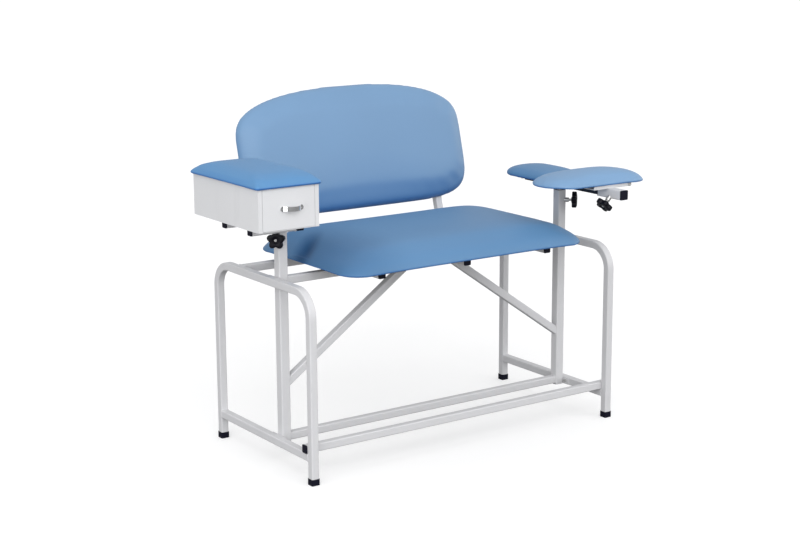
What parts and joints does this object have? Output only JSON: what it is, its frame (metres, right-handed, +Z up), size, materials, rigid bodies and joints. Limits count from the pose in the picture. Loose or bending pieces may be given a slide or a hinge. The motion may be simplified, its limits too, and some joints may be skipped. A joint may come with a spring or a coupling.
{
  "type": "patient chair",
  "caption": "Extra-wide padded blood-draw chair on a square-tube frame, with a drawer cabinet arm on one side and a height-adjustable padded T arm on the other.",
  "frame": {"origin": "on the floor, under the middle of the chair's overall width and depth", "axes": "+X across the chair to the T arm side, +Y from the front to the back, +Z up"},
  "size_m": [1.49, 0.8204, 1.1122],
  "materials": {
    "frame_paint": "low-gloss light warm grey powder coat",
    "dark_paint": "low-gloss near-black powder coat",
    "cabinet_paint": "low-gloss off-white powder coat",
    "vinyl": "smooth mid-blue upholstery vinyl with a soft sheen",
    "lid_vinyl": "smooth mid-blue upholstery vinyl with a soft sheen",
    "plywood": "plain plywood",
    "black_plastic": "near-black moulded plastic",
    "knob_plastic": "near-black moulded plastic",
    "chrome": "bright plating",
    "zinc_steel": "zinc plated",
    "black_steel": "blackened steel"
  },
  "bodies": {
    "base_frame": {"left_hoop": "frame_paint", "right_hoop": "frame_paint", "cross_rails": "frame_paint", "front_stretcher": "frame_paint", "mid_stretcher": "frame_paint", "seat_rails": "frame_paint", "left_post": "frame_paint", "right_post": "frame_paint", "braces": "frame_paint", "post_plates": "frame_paint", "frame_bolts": "zinc_steel", "foot_caps": "black_plastic", "left_bench_tube": "frame_paint", "right_bench_tube": "frame_paint", "centre_bench_tube": "frame_paint", "frame_plugs": "black_plastic", "post_bushes": "black_plastic", "post_bosses": "zinc_steel", "seat_board": "plywood", "seat_cushion": "vinyl", "seat_screws": "zinc_steel", "back_board": "plywood", "back_cushion": "vinyl", "back_bolts": "zinc_steel"},
    "cabinet_arm": {"cabinet_post": "frame_paint", "cabinet_head_tube": "frame_paint", "cabinet_bearers": "frame_paint", "cabinet_plugs": "black_plastic", "cabinet_shell": "cabinet_paint", "lid_board": "plywood", "lid_cushion": "lid_vinyl", "lid_screws": "zinc_steel", "drawer_rails": "zinc_steel"},
    "drawer": {"drawer_slides": "zinc_steel", "drawer_box": "cabinet_paint", "drawer_front": "cabinet_paint", "drawer_handle": "chrome", "handle_screws": "zinc_steel"},
    "left_clamp": {"left_knob": "knob_plastic", "left_knob_stud": "zinc_steel"},
    "t_arm": {"arm_post": "frame_paint", "arm_tube": "dark_paint", "arm_tube_plug": "black_plastic", "armrest_bars": "frame_paint", "armrest_screws": "black_steel", "armrest_board": "plywood", "armrest_cushion": "vinyl"},
    "sleeve": {"arm_sleeve": "frame_paint", "sleeve_plug": "black_plastic", "sleeve_bush": "black_plastic", "sleeve_boss": "zinc_steel", "hinge_bracket": "frame_paint", "hinge_bolt": "zinc_steel"},
    "cross_pad": {"cross_carrier": "frame_paint", "cross_board": "plywood", "cross_cushion": "vinyl"},
    "right_clamp": {"right_knob": "knob_plastic", "right_knob_stud": "zinc_steel"},
    "sleeve_clamp": {"sleeve_knob": "knob_plastic", "sleeve_knob_stud": "zinc_steel"}
  },
  "joints": [
    {"name": "left_arm_height", "type": "slide", "parent": "base_frame", "child": "cabinet_arm", "axis": [0, 0, 1], "range_m": [0, 0.18]},
    {"name": "drawer_slide", "type": "slide", "parent": "cabinet_arm", "child": "drawer", "axis": [0, -1, 0], "range_m": [0, 0.29]},
    {"name": "left_knob_turn", "type": "hinge", "parent": "base_frame", "child": "left_clamp", "pos_m": [-0.54643, -0.0837, 0.727], "axis": [-0.7071, -0.7071, 0], "continuous": true},
    {"name": "right_arm_height", "type": "slide", "parent": "base_frame", "child": "t_arm", "axis": [0, 0, 1], "range_m": [-0.009, 0.17]},
    {"name": "right_knob_turn", "type": "hinge", "parent": "base_frame", "child": "right_clamp", "pos_m": [0.56542, -0.0837, 0.727], "axis": [0.7071, -0.7071, 0], "continuous": true},
    {"name": "sleeve_slide", "type": "slide", "parent": "t_arm", "child": "sleeve", "axis": [0, -1, 0], "range_m": [0, 0.06]},
    {"name": "sleeve_knob_turn", "type": "hinge", "parent": "sleeve", "child": "sleeve_clamp", "pos_m": [0.56542, -0.3527, 0.7867], "axis": [-0.7071, 0, -0.7071], "continuous": true},
    {"name": "cross_pad_flip", "type": "hinge", "parent": "sleeve", "child": "cross_pad", "pos_m": [0.64143, -0.3507, 0.80858], "axis": [0, 1, 0], "range_deg": [0, 90]}
  ]
}
